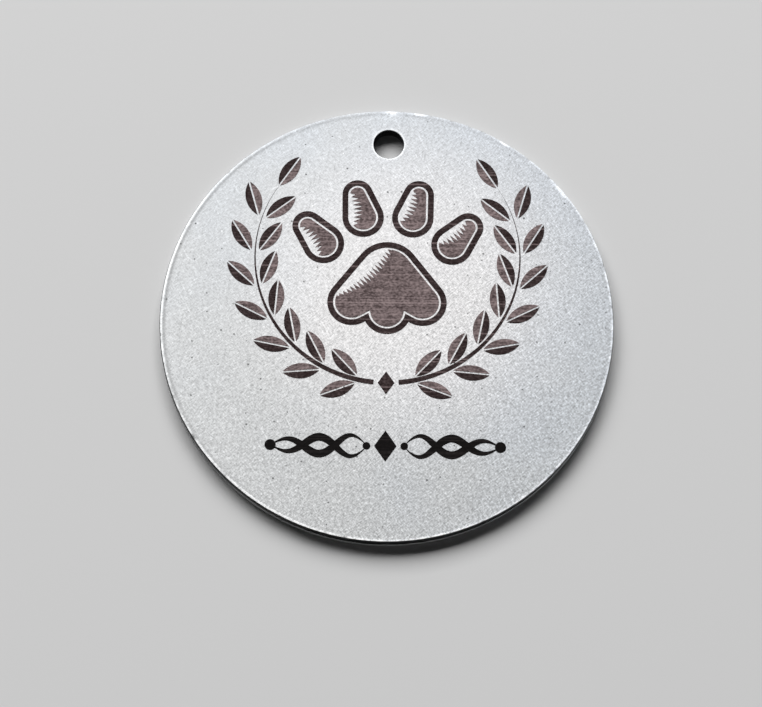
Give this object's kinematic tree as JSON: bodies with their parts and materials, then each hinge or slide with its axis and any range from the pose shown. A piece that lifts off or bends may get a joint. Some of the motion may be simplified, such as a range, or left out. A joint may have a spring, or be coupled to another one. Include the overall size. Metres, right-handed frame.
{
  "type": "pet id tag",
  "caption": "Flat round stainless-steel pet tag with a small ring hole near the rim and a laser-marked paw-and-sprig emblem over a scroll on one face.",
  "frame": {"origin": "centre of the tag's back face", "axes": "+Z out of the marked face, +Y from the centre towards the ring hole, +X to the right of the marked face"},
  "size_m": [0.03, 0.03, 0.001],
  "materials": {
    "blasted_steel": "fine bead-blasted stainless steel with a brighter tumbled rim",
    "dark_oxide": "dark brown laser-burnt oxide line",
    "brown_oxide": "grey-brown laser-burnt oxide tone with raster lines",
    "black_oxide": "near-black laser-burnt oxide"
  },
  "bodies": {
    "root": {"tag_disc": "blasted_steel", "heel_pad_outline": "dark_oxide", "toe_1_outline": "dark_oxide", "toe_2_outline": "dark_oxide", "toe_3_outline": "dark_oxide", "toe_4_outline": "dark_oxide", "sprig_knot": "dark_oxide", "left_sprig_stem": "dark_oxide", "right_sprig_stem": "dark_oxide", "left_sprig_leaves_dark": "dark_oxide", "right_sprig_leaves_dark": "dark_oxide", "heel_pad_tone": "brown_oxide", "toe_1_tone": "brown_oxide", "toe_2_tone": "brown_oxide", "toe_3_tone": "brown_oxide", "toe_4_tone": "brown_oxide", "left_sprig_leaves_tone": "brown_oxide", "right_sprig_leaves_tone": "brown_oxide", "scroll_left": "black_oxide", "scroll_lozenge": "black_oxide", "scroll_right": "black_oxide"}
  },
  "joints": []
}
